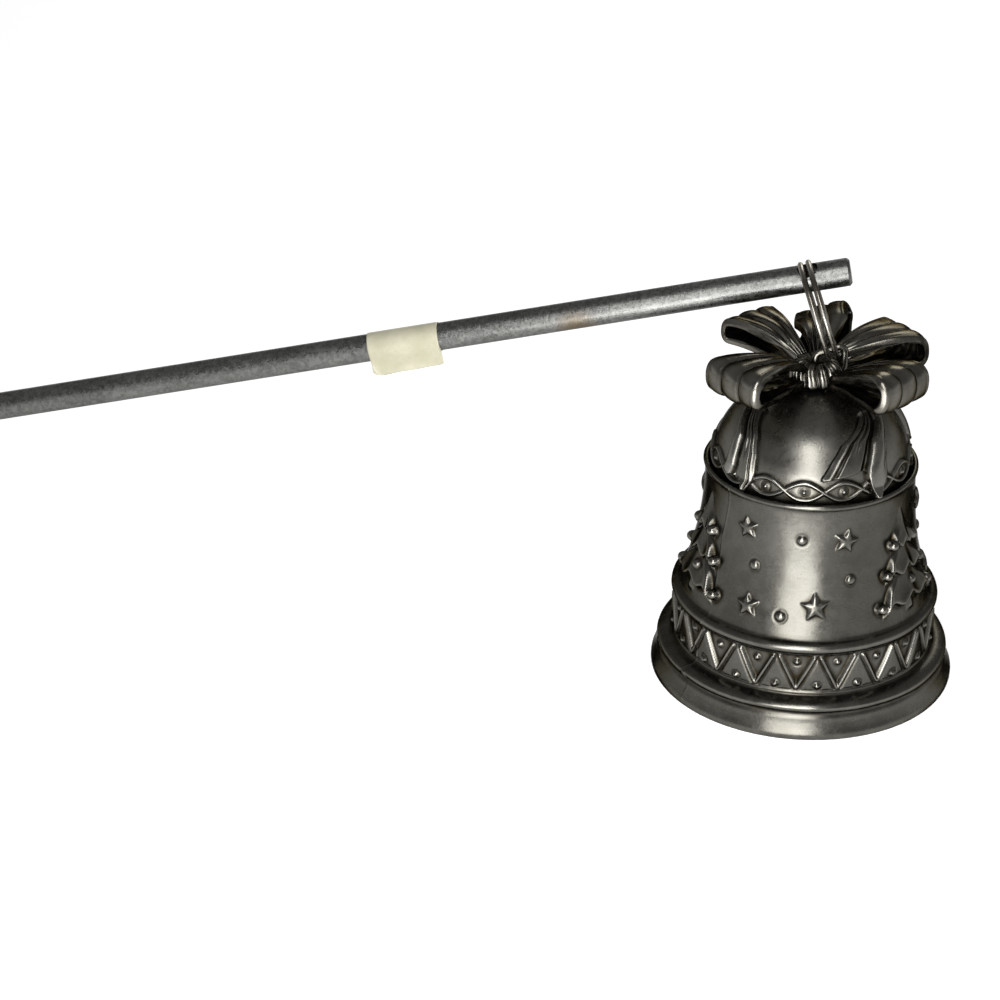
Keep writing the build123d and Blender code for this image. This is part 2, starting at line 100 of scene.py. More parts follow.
# Fir trees: azimuth in each field, tiers as peak, hem and half width, and balls, all as shares of height and width
TREE_FOOT = 15.6
TREE_HEIGHT = 14.6
TREE_WIDTH = 11.6
TREE_TURNS = (57.0, 60.0, 53.0)
TREE_TIERS = ((0.56, 0.04, 0.5), (0.8, 0.34, 0.37), (1.03, 0.62, 0.23))
TREE_BALLS = ((0.50, 0.10), (-0.50, 0.10), (0.34, 0.40), (-0.34, 0.40), (0.20, 0.68), (-0.20, 0.68), (0.06, 0.26))
BALL_RADIUS = 0.8

# The mould's parting line: heights, and its azimuth at each
SEAM = (
    (0.0, 0.9, 3.6, 4.9, 6.0, 9.3, 14.4, 19.4, 25.3, 31.3, 33.5),
    (214.7, 213.7, 214.8, 209.5, 211.4, 210.9, 216.5, 214.3, 212.4, 215.3, 215.3),
)
SEAM_RADIUS = 17.0
SEAM_HALF = 0.17

# Crown: the dome, the spigot under it that sits in the cup, and the ovals round its foot
DOME_RADIUS = 13.9
DOME_WALL = 1.3
SPIGOT_OUTSIDE = ((13.75, 31.0), (13.88, 31.12), (13.9, 34.0))
SPIGOT_INSIDE = ((12.6, 34.0), (12.6, 31.0))
SPRING_HEIGHT = 34.0
DOME_RISE = 11.4
CROWN_HEIGHT = SPRING_HEIGHT + DOME_RISE
OVAL_COUNT = 16
OVAL_FIRST = 259.7
OVAL_HEIGHT = 35.2
OVAL_RISE = 1.2
STRAND_HALF = 0.42

# Bow: each loop's name, azimuth, reach, top and bottom over the crown, the widest half of its ribbon, its roll at the
# fold in degrees, how far its upper run is pressed down near the knot, and where its pleats start.
# The ring lies near the pressed loop when it is swung over.
LOOPS = (
    ("bow_loop_front_left", 214.0, 16.0, 6.4, 0.8, 5.6, 4.0, 0.0, 0.1),
    ("bow_loop_front_right", 318.0, 15.6, 6.2, 0.3, 5.3, -5.0, 1.0, 0.6),
    ("bow_loop_right", 24.0, 15.8, 6.3, 0.6, 5.4, -6.0, 0.0, 0.3),
    ("bow_loop_rear", 79.0, 16.2, 6.0, 1.2, 4.0, -24.0, 0.0, 0.8),
    ("bow_loop_left", 131.0, 14.4, 6.95, 2.5, 5.0, 3.0, 0.0, 0.5),
)
RIBBON_THICK = 0.95
LOOP_ROOT = 2.2
LOOP_SPREAD = 0.385
FOLD_SQUARE = 0.82

# Tails: name, the two sides as heights and azimuths there, the foot's edge as places across and heights over the
# dome's foot, and 1 or -1 for the way the folds lie
SWALLOW = ((-1.0, -0.6, -0.5, -0.03, 0.03, 0.5, 0.6, 1.0), (2.4, 0.5, 0.4, 3.6, 3.6, 0.2, 0.3, 2.2))
TAILS = (
    ("ribbon_tail_front_right",
     ((37.1, 39.2, 40.8, 43.0), (268.7, 275.4, 282.9, 307.9)),
     ((34.9, 38.0, 40.3, 42.2), (309.9, 311.6, 317.7, 328.3)),
     ((-1.0, -0.92, -0.4, 0.2, 0.3, 0.46, 0.54, 1.0), (2.8, 2.6, 3.0, 3.5, 3.1, 0.0, 0.0, 2.4)), 1),
    ("ribbon_tail_right", ((34.0, 43.3), (4.0, 14.0)), ((34.0, 43.3), (46.0, 36.0)), SWALLOW, 1),
    ("ribbon_tail_back", ((34.0, 43.3), (91.0, 101.0)), ((34.0, 43.3), (133.0, 123.0)), SWALLOW, -1),
    ("ribbon_tail_left",
     ((33.3, 36.6, 40.0, 42.4), (200.8, 208.0, 206.5, 193.3)),
     ((35.1, 38.7, 40.7, 42.9), (231.2, 228.3, 223.4, 210.6)),
     ((-1.0, -0.43, 0.0, 0.2, 0.58, 0.66, 0.85, 1.0), (2.2, 0.9, 1.3, 1.1, 0.0, 0.0, 1.2, 2.8)), -1),
)
TAIL_TOP = 9.3

# Knot: a little over the crown, its widest part over its base, and how far it swells up and down from there
KNOT_RADIUS = 3.75
KNOT_BASE = CROWN_HEIGHT + 0.05
KNOT_WIDEST = 0.95
KNOT_UP, KNOT_DOWN = 2.45, 0.95
KNOT_PLEATS, KNOT_FINE_PLEATS = 7, 16

# Ring and rod where the CAD has them; the ring's wire runs from one angle to another and crosses over between two
RING_RADIUS = 6.8
RING_PITCH = 1.14
RING_WIRE = 0.4
RING_TILT = 18.7
RING_ENDS = (-27.0, 651.0)
RING_CROSSING = (294.0, 330.0)
RING_CENTRE = np.array((0.175026, 1.992407, 55.487092))
HOLE_CENTRE = np.array((-0.578512, 8.245284, 57.713322))
HOLE_AXIS = np.array((-0.22300896, -0.36034745, 0.90576858))
ROD_OUT = np.array((-0.974763, 0.092142, -0.203339))
ROD_RADIUS = 2.0

# Label: where it starts from the hole and its length along the bar, the paper and the glue under it, its free end and
# the corner of that end that is rounded off
LABEL_START = 53.5
LABEL_LENGTH = 10.4
LABEL_GLUE = 0.06
LABEL_THICK = 0.14
LABEL_LIFT = 0.16
LABEL_FREE = 3.15
LABEL_CORNER = 1.7

# Stage, in metres: the floor's half width and its gap under the rim; light levels of floor and surround
FLOOR_HALF = 6.0
FLOOR_HEIGHT = -0.00002
FLOOR_SEEN = 0.52
SURROUND_LIGHT = 0.34
OVERHEAD_SEEN = 0.3
# Lamps: name, azimuth, elevation, distance, width, height, radiance and the point that each is aimed at
LAMPS = (
    ("window_low", 258.0, 0.0, 0.095, 0.046, 0.054, 12.5, (0, 0, 0.031)),
    ("window_high", 262.0, 38.0, 0.3, 0.09, 0.26, 9.5, (0, 0, 0.038)),
    ("window_behind", 75.0, 22.0, 0.5, 0.16, 0.3, 5.0, (0, 0, 0.03)),
)


# ---------------------------------------------------------------- mesh helpers
def turn(azimuth):
    """Unit vector in the table plane at an azimuth in degrees."""
    angle = math.radians(azimuth)
    return np.array((math.cos(angle), math.sin(angle), 0.0))


def smooth(value, low, high):
    """0 below low, 1 above high and a smooth step between them."""
    t = np.clip((value - low) / (high - low), 0.0, 1.0)
    return t * t * (3.0 - 2.0 * t)


def bump(distance, width):
    """A round ridge: 1 at distance 0 and 0 from width outward."""
    return np.clip(1.0 - (distance / width) ** 2, 0.0, None) ** 1.5


def spread(angle):
    """An angle difference in degrees, brought into -180 to 180."""
    return (angle + 180.0) % 360.0 - 180.0


def ripple(around, along, seed, most_around, most_along, waves=24):
    """A gentle seeded waviness in about -1 to 1, whole waves round and free waves along."""
    draw = np.random.default_rng(seed)
    total = np.zeros(np.broadcast(around, along).shape)
    for _ in range(waves):
        turns = draw.integers(-most_around, most_around + 1)
        rate = draw.uniform(-most_along, most_along)
        total += np.sin(np.radians(around) * turns + along * rate + draw.uniform(0, 2 * math.pi))
    return total / math.sqrt(waves)


def blur(field, steps):
    """Field averaged over its neighbours a number of times, round along axis 0 and held at the ends of axis 1."""
    for _ in range(steps):
        field = (np.roll(field, 1, 0) + 2 * field + np.roll(field, -1, 0)) / 4
        padded = np.pad(field, ((0, 0), (1, 1)), mode="edge")
        field = (padded[:, :-2] + 2 * field + padded[:, 2:]) / 4
    return field


def polar(radius, azimuth, height):
    """Points from their distance to the axis, azimuth in degrees and height."""
    angle = np.radians(azimuth)
    return np.stack([radius * np.cos(angle), radius * np.sin(angle), height], -1)


def lathe_grid(line):
    """A section turned round the axis: the azimuth, row number, radius and height of each point."""
    azimuth, row = np.meshgrid(np.arange(0, 360, 0.5), np.arange(len(line)), indexing="ij")
    return azimuth, row, line[row, 0], line[row, 1]


def grid_faces(rows, columns, wrap_rows, wrap_columns):
    """Quads of a grid of points numbered row by row."""
    i = np.arange(rows if wrap_rows else rows - 1)[:, None]
    j = np.arange(columns if wrap_columns else columns - 1)[None, :]
    i2, j2 = (i + 1) % rows, (j + 1) % columns
    corners = (i * columns + j, i2 * columns + j, i2 * columns + j2, i * columns + j2)
    return np.stack(np.broadcast_arrays(*corners), -1).reshape(-1, 4)


def column_faces(rows, columns, first, second):
    """Two faces that close a grid wrapped along its rows: one at a column and one, turned over, at another."""
    forward = tuple(k * columns + first for k in range(rows))
    backward = tuple(k * columns + second for k in reversed(range(rows)))
    return [forward, backward]


def make_piece(name, points, quads, extra=(), relief=None):
    """A closed smooth mesh in metres from points in millimetres, turned so that its faces look outward."""
    corners = points[quads]
    cross = np.cross(corners[:, 2] - corners[:, 0], corners[:, 3] - corners[:, 1])
    volume = float((corners.mean(axis=1) * cross).sum())
    for face in extra:
        ring = points[list(face)]
        middle = ring.mean(axis=0)
        edge = np.cross(ring - middle, np.roll(ring, -1, 0) - middle)
        volume += float((middle * edge.sum(axis=0)).sum())
    faces = [tuple(quad) for quad in quads.tolist()] + [tuple(face) for face in extra]
    if volume < 0:
        faces = [face[::-1] for face in faces]
    mesh = bpy.data.meshes.new(name)
    mesh.from_pydata((points * MM).tolist(), [], faces)
    mesh.polygons.foreach_set("use_smooth", [True] * len(mesh.polygons))
    if relief is not None:
        layer = mesh.attributes.new("relief", "FLOAT", "POINT")
        layer.data.foreach_set("value", np.clip(relief, -1, 1).astype(np.float32).ravel())
    piece = bpy.data.objects.new(name, mesh)
    bpy.context.collection.objects.link(piece)
    return piece


def fine_outline(corners, step):
    """A polyline with points about a step apart, its corners kept."""
    points = [np.asarray(corners[0], float)]
    for start, end in zip(corners[:-1], corners[1:]):
        start, end = np.asarray(start, float), np.asarray(end, float)
        count = max(1, int(round(np.linalg.norm(end - start) / step)))
        points += [start + (end - start) * k / count for k in range(1, count + 1)]
    return np.array(points)


def soften(line, passes):
    """A polyline with its corners rounded by averaging, its ends held."""
    for _ in range(passes):
        line = np.vstack([line[:1], (line[:-2] + 2 * line[1:-1] + line[2:]) / 4, line[-1:]])
    return line


def side_normals(line):
    """Unit normals of a polyline in (radius, height), to the right of its way."""
    way = np.gradient(line, axis=0)
    way /= np.linalg.norm(way, axis=1)[:, None]
    return np.stack([way[:, 1], -way[:, 0]], axis=1)


def cubic(p0, p1, p2, p3, count):
    """Points of a cubic curve."""
    t = np.linspace(0, 1, count)[:, None]
    p0, p1, p2, p3 = (np.asarray(p, float) for p in (p0, p1, p2, p3))
    return p0 * (1 - t) ** 3 + 3 * p1 * t * (1 - t) ** 2 + 3 * p2 * t**2 * (1 - t) + p3 * t**3


def even(line, count):
    """A polyline sampled again at even steps."""
    reach = np.concatenate([[0], np.cumsum(np.linalg.norm(np.diff(line, axis=0), axis=1))])
    places = np.linspace(0, reach[-1], count)
    return np.stack([np.interp(places, reach, line[:, axis]) for axis in range(line.shape[1])], axis=1)


# ---------------------------------------------------------------- materials
def add_node(tree, kind, inputs=None, **settings):
    """A new node with its settings, and its inputs set or linked."""
    made = tree.nodes.new(kind)
    for name, value in settings.items():
        setattr(made, name, value)
    for key, value in (inputs or {}).items():
        if isinstance(value, bpy.types.NodeSocket):
            tree.links.new(value, made.inputs[key])
        else:
            made.inputs[key].default_value = value
    return made


def noise(tree, coordinates, scale, detail=4.0, roughness=0.55, distortion=0.0):
    """A noise texture's value."""
    inputs = {
        "Vector": coordinates, "Scale": scale, "Detail": detail, "Roughness": roughness, "Distortion": distortion,
    }
    return add_node(tree, "ShaderNodeTexNoise", inputs).outputs[0]


def remap(tree, value, low, high, first=0.0, last=1.0):
    """A value brought from low..high to first..last and held there."""
    return add_node(tree, "ShaderNodeMapRange", {0: value, 1: low, 2: high, 3: first, 4: last}).outputs[0]


def math_node(tree, operation, first, second):
    """A math node's value."""
    return add_node(tree, "ShaderNodeMath", {0: first, 1: second}, operation=operation, use_clamp=True).outputs[0]


def mix_colours(tree, factor, first, second, blend="MIX"):
    """Two colours mixed."""
    return add_node(
        tree, "ShaderNodeMix", {0: factor, 6: first, 7: second}, data_type="RGBA", blend_type=blend
    ).outputs[2]


def bumped(tree, strength, distance, height):
    """A surface made uneven by a height."""
    inputs = {"Strength": strength, "Distance": distance, "Height": height}
    return add_node(tree, "ShaderNodeBump", inputs).outputs[0]


def new_material(name):
    """A material, its tree and its shader."""
    material = bpy.data.materials.new(name)
    material.use_nodes = True
    tree = material.node_tree
    return material, tree, tree.nodes["Principled BSDF"]


def connect(tree, shader, colour, roughness, surface):
    """Links a shader's colour, roughness and surface."""
    tree.links.new(colour, shader.inputs["Base Color"])
    tree.links.new(roughness, shader.inputs["Roughness"])
    tree.links.new(surface, shader.inputs["Normal"])


def make_metal(shader, glancing):
    """Makes a shader a metal, with a tint for what it mirrors at glancing angles."""
    shader.inputs["Metallic"].default_value = 1.0
    shader.inputs["Specular Tint"].default_value = glancing


def pewter(name, dark, light, worn_and_highlight, patina_and_shade, roughness, mottle_scale, brushed):
    """Antique pewter: mottled satin metal, lighter on raised parts as wear and a painted highlight, and dark brown in
    its recesses as patina and painted shade.
    """
    material, tree, shader = new_material(name)
    coordinates = add_node(tree, "ShaderNodeTexCoord").outputs["Object"]
    relief = add_node(tree, "ShaderNodeAttribute", attribute_name="relief").outputs["Fac"]
    cloud = noise(tree, coordinates, 70.0, 3.0)
    mottle = noise(tree, coordinates, mottle_scale, 9.0, 0.7, 0.3)
    grain = noise(tree, coordinates, 2800.0, 5.0, 0.65)
    flattened = add_node(tree, "ShaderNodeMapping", {"Vector": coordinates, "Scale": (0.12, 0.12, 1.0)}).outputs[0]
    brush = noise(tree, flattened, 3600.0, 4.0, 0.6)
    clouded = remap(tree, cloud, 0.35, 0.65, 0.0, 0.5)
    tone = math_node(tree, "ADD", clouded, remap(tree, mottle, 0.32, 0.68, 0.0, 0.5))
    colour = mix_colours(tree, tone, dark, light)
    # Raised parts get a lighter colour: wear, and partly a painted highlight
    raised = remap(tree, relief, 0.25, 0.95)
    edge = math_node(tree, "MULTIPLY", raised, remap(tree, mottle, 0.3, 0.55, 0.35, 1.0))
    colour = mix_colours(tree, edge, colour, worn_and_highlight)
    # Sunk parts get dark brown: patina, and partly painted shade
    sunk = remap(tree, relief, -0.08, -0.65)
    hollow = math_node(tree, "MULTIPLY", sunk, remap(tree, mottle, 0.66, 0.38, 0.55, 1.0))
    colour = mix_colours(tree, hollow, colour, patina_and_shade)
    rough = remap(tree, mottle, 0.3, 0.7, roughness - 0.06, roughness + 0.06)
    rough = math_node(tree, "ADD", rough, math_node(tree, "MULTIPLY", hollow, 0.16))
    rough = math_node(tree, "SUBTRACT", rough, math_node(tree, "MULTIPLY", edge, 0.1))
    height = math_node(tree, "MULTIPLY", mottle, 0.55)
    height = math_node(tree, "ADD", height, math_node(tree, "MULTIPLY", grain, 0.25))
    height = math_node(tree, "ADD", height, math_node(tree, "MULTIPLY", brush, 0.2))
    make_metal(shader, (0.16, 0.155, 0.14, 1.0))
    if brushed:
        around = add_node(tree, "ShaderNodeTangent", direction_type="RADIAL", axis="Z")
        shader.inputs["Anisotropic"].default_value = brushed
        shader.inputs["Anisotropic Rotation"].default_value = 0.25
        tree.links.new(around.outputs[0], shader.inputs["Tangent"])
    connect(tree, shader, colour, rough, bumped(tree, 0.6, 0.00006, height))
    return material


def wire_steel():
    """Dark plated wire, finely mottled and brown in places."""
    material, tree, shader = new_material("steel wire, dark nickel")
    coordinates = add_node(tree, "ShaderNodeTexCoord").outputs["Object"]
    mottle = noise(tree, coordinates, 900.0, 6.0, 0.6)
    cloud = noise(tree, coordinates, 260.0, 3.0)
    colour = mix_colours(tree, remap(tree, cloud, 0.4, 0.65), (0.26, 0.248, 0.222, 1), (0.11, 0.1, 0.082, 1))
    make_metal(shader, (0.5, 0.49, 0.47, 1.0))
    rough = remap(tree, mottle, 0.3, 0.7, 0.2, 0.34)
    connect(tree, shader, colour, rough, bumped(tree, 0.25, 0.00003, mottle))
    return material


def drawn_bar():
    """Dull drawn bar: fine lengthwise scratches, a scuffed mottle, a brown stain and a dark speck."""
    material, tree, shader = new_material("drawn bar, dull grey")
    position = add_node(tree, "ShaderNodeTexCoord").outputs["Object"]
    across = np.cross(ROD_OUT, HOLE_AXIS)
    axes = Matrix([ROD_OUT.tolist(), HOLE_AXIS.tolist(), across.tolist()])
    turned = add_node(
        tree, "ShaderNodeMapping", {"Vector": position, "Rotation": axes.to_euler()}, vector_type="POINT"
    ).outputs[0]
    lengthwise = add_node(tree, "ShaderNodeMapping", {"Vector": turned, "Scale": (0.16, 1.0, 1.0)}).outputs[0]
    scratch = noise(tree, lengthwise, 3200.0, 8.0, 0.75, 0.2)
    scuff = noise(tree, position, 1500.0, 8.0, 0.75, 0.4)
    cloud = noise(tree, position, 110.0, 4.0, 0.6)
    scuffed = remap(tree, scuff, 0.42, 0.6, 0.0, 0.7)
    tone = math_node(tree, "ADD", scuffed, remap(tree, cloud, 0.4, 0.62, 0.0, 0.3))
    colour = mix_colours(tree, tone, (0.1, 0.1, 0.096, 1), (0.2, 0.199, 0.19, 1))
    for along, radius, stain in ((33.5, 0.0036, (0.13, 0.095, 0.055, 1)), (38.2, 0.0005, (0.015, 0.013, 0.01, 1))):
        place = (HOLE_CENTRE + ROD_OUT * along - across * 1.7 - HOLE_AXIS * 1.0) * MM
        away = add_node(tree, "ShaderNodeVectorMath", {0: position, 1: place.tolist()}, operation="DISTANCE")
        near = remap(tree, away.outputs[1], radius, radius * 0.3)
        share = math_node(tree, "MULTIPLY", near, remap(tree, scuff, 0.3, 0.6, 0.4, 0.85))
        colour = mix_colours(tree, share, colour, stain)
    height = math_node(tree, "MULTIPLY", scratch, 0.5)
    height = math_node(tree, "ADD", height, math_node(tree, "MULTIPLY", scuff, 0.5))
    make_metal(shader, (0.55, 0.55, 0.55, 1.0))
    rough = remap(tree, scuff, 0.35, 0.65, 0.22, 0.36)
    connect(tree, shader, colour, rough, bumped(tree, 0.9, 0.00008, height))
    return material


def label_paper():
    """Aged ivory paper, a little yellow and grey in clouds, with fine fibres."""
    material, tree, shader = new_material("aged ivory paper")
    coordinates = add_node(tree, "ShaderNodeTexCoord").outputs["Object"]
    cloud = noise(tree, coordinates, 240.0, 4.0, 0.6)
    fibre = noise(tree, coordinates, 2600.0, 5.0, 0.65, 1.5)
    speckle = remap(tree, noise(tree, coordinates, 1400.0, 2.0), 0.66, 0.74)
    colour = mix_colours(tree, remap(tree, cloud, 0.35, 0.68), (0.42, 0.4, 0.285, 1), (0.53, 0.512, 0.395, 1))
    colour = mix_colours(tree, remap(tree, fibre, 0.4, 0.7, 0.0, 0.16), colour, (0.34, 0.315, 0.22, 1))
    colour = mix_colours(tree, math_node(tree, "MULTIPLY", speckle, 0.35), colour, (0.28, 0.24, 0.15, 1))
    rough = remap(tree, cloud, 0.3, 0.7, 0.28, 0.4)
    connect(tree, shader, colour, rough, bumped(tree, 0.4, 0.00003, fibre))
    return material


# The cup, the cap with its tails, and the bow are one pewter in three copies: the cup's is painted darker and the
# cap's and the bow's lighter, to even out the white floor and the grey overhead that they mirror; the cup's copy is
# also brushed
CAST = pewter(
    "antique pewter, cast", dark=(0.054, 0.0515, 0.044, 1), light=(0.1, 0.097, 0.087, 1),
    worn_and_highlight=(0.145, 0.14, 0.124, 1), patina_and_shade=(0.017, 0.0135, 0.0072, 1), roughness=0.27, mottle_scale=420.0, brushed=0.35,
)
CAP = pewter(
    "antique pewter, cap", dark=(0.095, 0.091, 0.079, 1), light=(0.165, 0.16, 0.145, 1),
    worn_and_highlight=(0.24, 0.232, 0.21, 1), patina_and_shade=(0.015, 0.0125, 0.0075, 1), roughness=0.28, mottle_scale=420.0, brushed=0.0,
)
BOW = pewter(
    "antique pewter, bow", dark=(0.07, 0.066, 0.056, 1), light=(0.13, 0.124, 0.108, 1),
    worn_and_highlight=(0.24, 0.23, 0.205, 1), patina_and_shade=(0.015, 0.013, 0.009, 1), roughness=0.25, mottle_scale=520.0, brushed=0.0,
)
STEEL = wire_steel()
BAR = drawn_bar()
PAPER = label_paper()


# ---------------------------------------------------------------- cup
def star_distance(x, y, radius, waist):
    """Distance to a five-pointed star with a point up, negative inside."""
    k1x, k1y = 0.809016994, -0.587785252
    x = np.abs(x)
    for kx in (k1x, -k1x):
        push = 2 * np.maximum(kx * x + k1y * y, 0)
        x, y = x - push * kx, y - push * k1y
    x = np.abs(x)
    y = y - radius
    bx, by = waist * -k1y, waist * k1x - 1
    h = np.clip((x * bx + y * by) / (bx * bx + by * by), 0, radius)
    return np.hypot(x - bx * h, y - by * h) * np.sign(y * bx - x * by)


def segment_distance(x, y, start, end):
    """Distance to a segment."""
    dx, dy = end[0] - start[0], end[1] - start[1]
    t = np.clip(((x - start[0]) * dx + (y - start[1]) * dy) / (dx * dx + dy * dy), 0, 1)
    return np.hypot(x - start[0] - t * dx, y - start[1] - t * dy)


def faded(height, fades):
    """1 between two heights, with a smooth step in and out."""
    return smooth(height, *fades[0]) * (1 - smooth(height, *fades[1]))


def zigzag(azimuth, height):
    """Thin raised V strokes, sunk inside and raised between, with a small dot in every triangle."""
    pitch = 360.0 / ZIGZAG_COUNT
    number = np.round((azimuth - ZIGZAG_FIRST) / pitch)
    wander = np.sin(number * 2.3) * 0.16
    x = np.radians(azimuth - ZIGZAG_FIRST - number * pitch) * BAND_RADIUS + wander
    y = height - BAND_MIDDLE - np.sin(number * 1.7 + 1.0) * 0.12
    lean = 0.16 * np.sin(number * 3.1)
    left = segment_distance(x, y, (-VEE_ARM, VEE_TOP + lean), (-VEE_FOOT_HALF, VEE_FOOT))
    right = segment_distance(x, y, (VEE_ARM, VEE_TOP - lean), (VEE_FOOT_HALF, VEE_FOOT))
    near = np.minimum(left, right)
    within = smooth(y - VEE_FOOT - VEE_SLOPE * np.abs(x), -0.2, 0.5)
    lift = 0.42 * bump(near, STROKE_HALF) - 0.2 * within * smooth(near, 0.15, 0.5)
    lift += 0.16 * (1 - within) * smooth(near, 0.3, 0.9)
    lift -= 0.12 * (1 - within) * bump(near - 0.42, 0.16)
    middle = (np.floor((azimuth - ZIGZAG_FIRST) / pitch) + 0.5) * pitch
    between = np.radians(spread(azimuth - ZIGZAG_FIRST - middle))
    for dot_x, dot_y in ((x, y - INNER_DOT), (between * BAND_RADIUS, y - OUTER_DOT)):
        dot = np.hypot(dot_x, dot_y)
        lift = lift + 0.4 * bump(dot, BAND_DOT_RADIUS) - 0.1 * bump(dot - 0.66, 0.2)
    return lift * faded(height, BAND_FADES)


def tree_relief(x, y):
    """A fir tree of three tiers like drooping leaves, each puffed out towards its pointed hem, with balls."""
    x = x / TREE_WIDTH
    y = y / TREE_HEIGHT
    lift = 0.5 * bump(np.abs(x), 0.1) * smooth(y, -0.04, 0.02) * (1 - smooth(y, 0.1, 0.16))
    for peak, hem, half in TREE_TIERS:
        side = np.abs(x) / half
        foot = hem + 0.07 * (1 - side**2) + 0.035 * np.cos(side * 9.4) * (side < 1)
        t = (peak - y) / (peak - foot)
        edge = half * (0.1 + 0.9 * np.clip(t, 0, 1.05) ** 1.15)
        inside = smooth(edge - np.abs(x), -0.01, 0.07) * smooth(t, 0.0, 0.1) * (1 - smooth(t, 0.97, 1.05))
        fold = 0.12 * np.cos(x / np.maximum(edge, 0.02) * 6.3 + 0.8)
        lift = np.maximum(lift, inside * (0.2 + (1.05 + fold) * np.clip(t, 0, 1) ** 1.7))
    for ball_x, ball_y in TREE_BALLS:
        ball = np.hypot((x - ball_x) * TREE_WIDTH, (y - ball_y) * TREE_HEIGHT)
        dome = 0.3 + 1.1 * np.sqrt(np.clip(1 - (ball / BALL_RADIUS) ** 2, 0, None))
        lift = np.where(ball < BALL_RADIUS, np.maximum(lift, dome), lift)
    return lift


def body_reliefs(azimuth, height, radius):
    """Stars, dots and a fir tree in each of three fields, with a slight dip round the dots."""
    lift = np.zeros_like(azimuth)
    for field in range(FIELD_COUNT):
        centre = FIELD_AZIMUTH + field * 360.0 / FIELD_COUNT
        for number, (star_turn, star_height, lean) in enumerate(STARS):
            x = np.radians(spread(azimuth - centre - star_turn)) * radius
            y = height - star_height
            angle = math.radians(lean + field * FIELD_LEAN * (-1) ** number)
            across = x * math.cos(angle) + y * math.sin(angle)
            upward = y * math.cos(angle) - x * math.sin(angle)
            away = star_distance(across, upward, STAR_RADII[number], STAR_WAIST) - 0.14
            lift += 0.34 * smooth(-away, -0.08, 0.3) + 0.2 * smooth(-away, 0.1, 0.8)
        for dot_turn, dot_height in DOTS:
            away = np.hypot(np.radians(spread(azimuth - centre - dot_turn)) * radius, height - dot_height)
            lift += 0.4 * np.sqrt(np.clip(1 - (away / DOT_RADIUS) ** 2, 0, None)) - 0.05 * bump(away - 0.85, 0.3)
        x = np.radians(spread(azimuth - centre - TREE_TURNS[field])) * radius
        lift += tree_relief(x, height - TREE_FOOT)
    return lift


def seam(azimuth, height):
    """The mould's parting line down the left front, a fine raised thread, and a fainter one opposite."""
    line = np.interp(height, *SEAM)
    away = np.radians(spread(azimuth - line)) * SEAM_RADIUS
    back = np.radians(spread(azimuth - line - 180.0)) * SEAM_RADIUS
    strength = 0.09 + 0.08 * (1 - smooth(height, 5.0, 13.0))
    return strength * (bump(away, SEAM_HALF) + 0.7 * bump(back, SEAM_HALF))


def build_cup():
    """The cup as one closed mesh: a profile round its wall, with the reliefs raised along its outside."""
    curve = np.polyfit(BODY_HEIGHTS, BODY_RADII, 2)
    body_line = [(float(np.polyval(curve, z)), float(z)) for z in np.linspace(*BODY_RUN, 120)]
    outer = soften(fine_outline([*CUP_FOOT, *body_line, *CUP_LIP], 0.16), 2)
    inner = fine_outline(CUP_INSIDE, 0.5)
    line = np.vstack([outer, inner])
    normals = np.vstack([side_normals(outer), np.zeros_like(inner)])
    azimuth, row, radius, height = lathe_grid(line)
    on_outside = row < len(outer)
    body = faded(height, BODY_FADES) * on_outside
    band = ((height > BAND_EDGES[0]) & (height < BAND_EDGES[1]) & on_outside).astype(float)
    lift = body * body_reliefs(azimuth, height, radius) + band * zigzag(azimuth, height)
    lift += seam(azimuth, height) * on_outside * smooth(height, 0.2, 0.6)
    # Colour mask: cavities and grooves go darker and beads lighter, as patina and wear and partly painted shade and
    # highlight; the whole inside is painted darker as shade
    hollow = lift - blur(lift, 18)
    corner = line[:, 0] - soften(line, 40)[:, 0]
    shade = hollow / 0.24 + np.where(on_outside, corner[row] / 0.42, -0.4)
    lift += 0.045 * ripple(azimuth, height, 11, 9, 0.5) * (0.3 + 0.7 * on_outside) * smooth(height, 0.1, 1.2)
    lift += 0.012 * ripple(azimuth, height, 12, 26, 1.5) * on_outside * smooth(height, 0.1, 1.2)
    radius = radius + lift * normals[row, 0]
    height = height + lift * normals[row, 1] * smooth(height, 0.0, 0.5)
    points = polar(np.minimum(radius, MOUTH_RADIUS), azimuth, height).reshape(-1, 3)
    return make_piece("cast_bell_cup", points, grid_faces(*azimuth.shape, True, True), relief=shade)


# ---------------------------------------------------------------- crown
def dome_profile(offset, count):
    """Points of the dome's quarter ellipse, from its foot to its top, offset outward."""
    angle = np.linspace(0, math.pi / 2, count)
    radius, rise = (DOME_RADIUS + offset) * np.cos(angle), (DOME_RISE + offset) * np.sin(angle)
    return np.stack([radius, SPRING_HEIGHT + rise], 1)


def guilloche(azimuth, height):
    """Two raised strands that weave round the dome's foot, with a dot in each eye between them."""
    phase = np.radians((azimuth - OVAL_FIRST) * OVAL_COUNT / 2)
    swing = OVAL_RISE * np.cos(phase)
    lift = np.zeros_like(azimuth)
    for side in (1, -1):
        away = (height - OVAL_HEIGHT - side * swing) * 0.86
        over = 0.06 * side * np.sin(phase)
        lift = np.maximum(lift, (0.46 + over) * bump(away, STRAND_HALF))
    inside = smooth(np.abs(swing) - np.abs(height - OVAL_HEIGHT), 0.1, 0.5)
    lift = np.maximum(lift, 0.16 * inside)
    pitch = 360.0 / OVAL_COUNT
    nearest = np.round((azimuth - OVAL_FIRST) / pitch) * pitch
    x = np.radians(azimuth - OVAL_FIRST - nearest) * DOME_RADIUS
    dot = np.hypot(x, height - OVAL_HEIGHT)
    return np.maximum(lift, 0.5 * bump(dot, 0.5)) - 0.08 * bump(dot - 0.72, 0.25)


